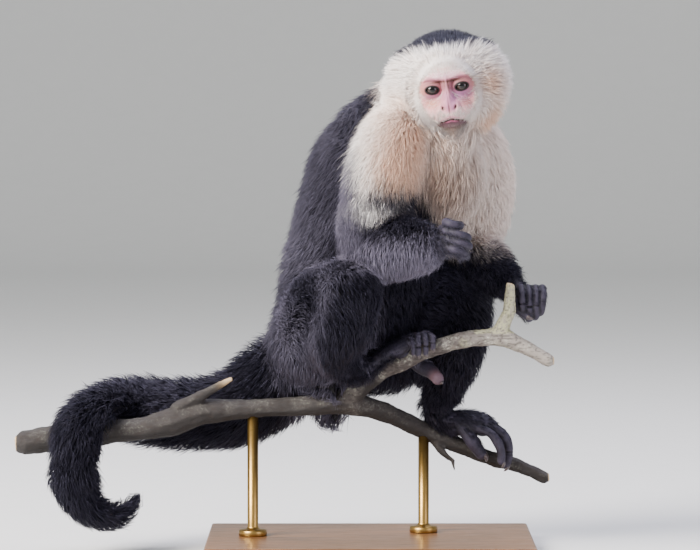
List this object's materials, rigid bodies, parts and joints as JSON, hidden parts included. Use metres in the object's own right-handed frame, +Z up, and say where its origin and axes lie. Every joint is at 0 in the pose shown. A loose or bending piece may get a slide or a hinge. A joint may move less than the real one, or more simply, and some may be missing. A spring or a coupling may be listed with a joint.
{
  "type": "white-faced capuchin monkey, still museum model on a branch",
  "caption": "Life-size white-faced capuchin monkey sitting on a cut length of forked branch, held up by a display stand with a flat base and short rods.",
  "frame": {"origin": "middle of the underside of the stand's base", "axes": "+Z up; +X along the branch from the tail towards the hands; the face looks along -Y"},
  "size_m": [0.4966, 0.2214, 0.4793],
  "materials": {
    "coat_black": "long glossy black-brown hair",
    "coat_cream": "cream and white hair, tan at the shoulder",
    "bare_skin": "thin pinkish skin",
    "eye": "polished dark brown",
    "dark_skin": "creased dark violet-grey skin",
    "bark": "rough grey-brown bark with lichen",
    "stand_wood": "stained oak, satin varnish",
    "stand_metal": "brushed dark brass"
  },
  "bodies": {
    "root": {"abdomen": "coat_black", "thigh_left": "coat_black", "thigh_right": "coat_black", "shank_left": "coat_black", "shank_right": "coat_black", "forearm_left": "coat_black", "forearm_right": "coat_black", "tail_base": "coat_black", "tail_middle": "coat_black", "tail_bend": "coat_black", "tail_tip": "coat_black", "chest": "coat_cream", "neck": "coat_cream", "head": "coat_cream", "upper_arm_left": "coat_cream", "upper_arm_right": "coat_cream", "ear_left": "bare_skin", "ear_right": "bare_skin", "eye_left": "eye", "eye_right": "eye", "hand_left": "dark_skin", "hand_right": "dark_skin", "foot_left": "dark_skin", "foot_right": "dark_skin", "perch_main": "bark", "perch_upper_fork": "bark", "perch_lower_fork": "bark", "perch_snapped_twig": "bark", "perch_upright_stub": "bark", "perch_hanging_twig": "bark", "stand_base": "stand_wood", "stand_rod_left": "stand_metal", "stand_rod_right": "stand_metal"}
  },
  "joints": []
}
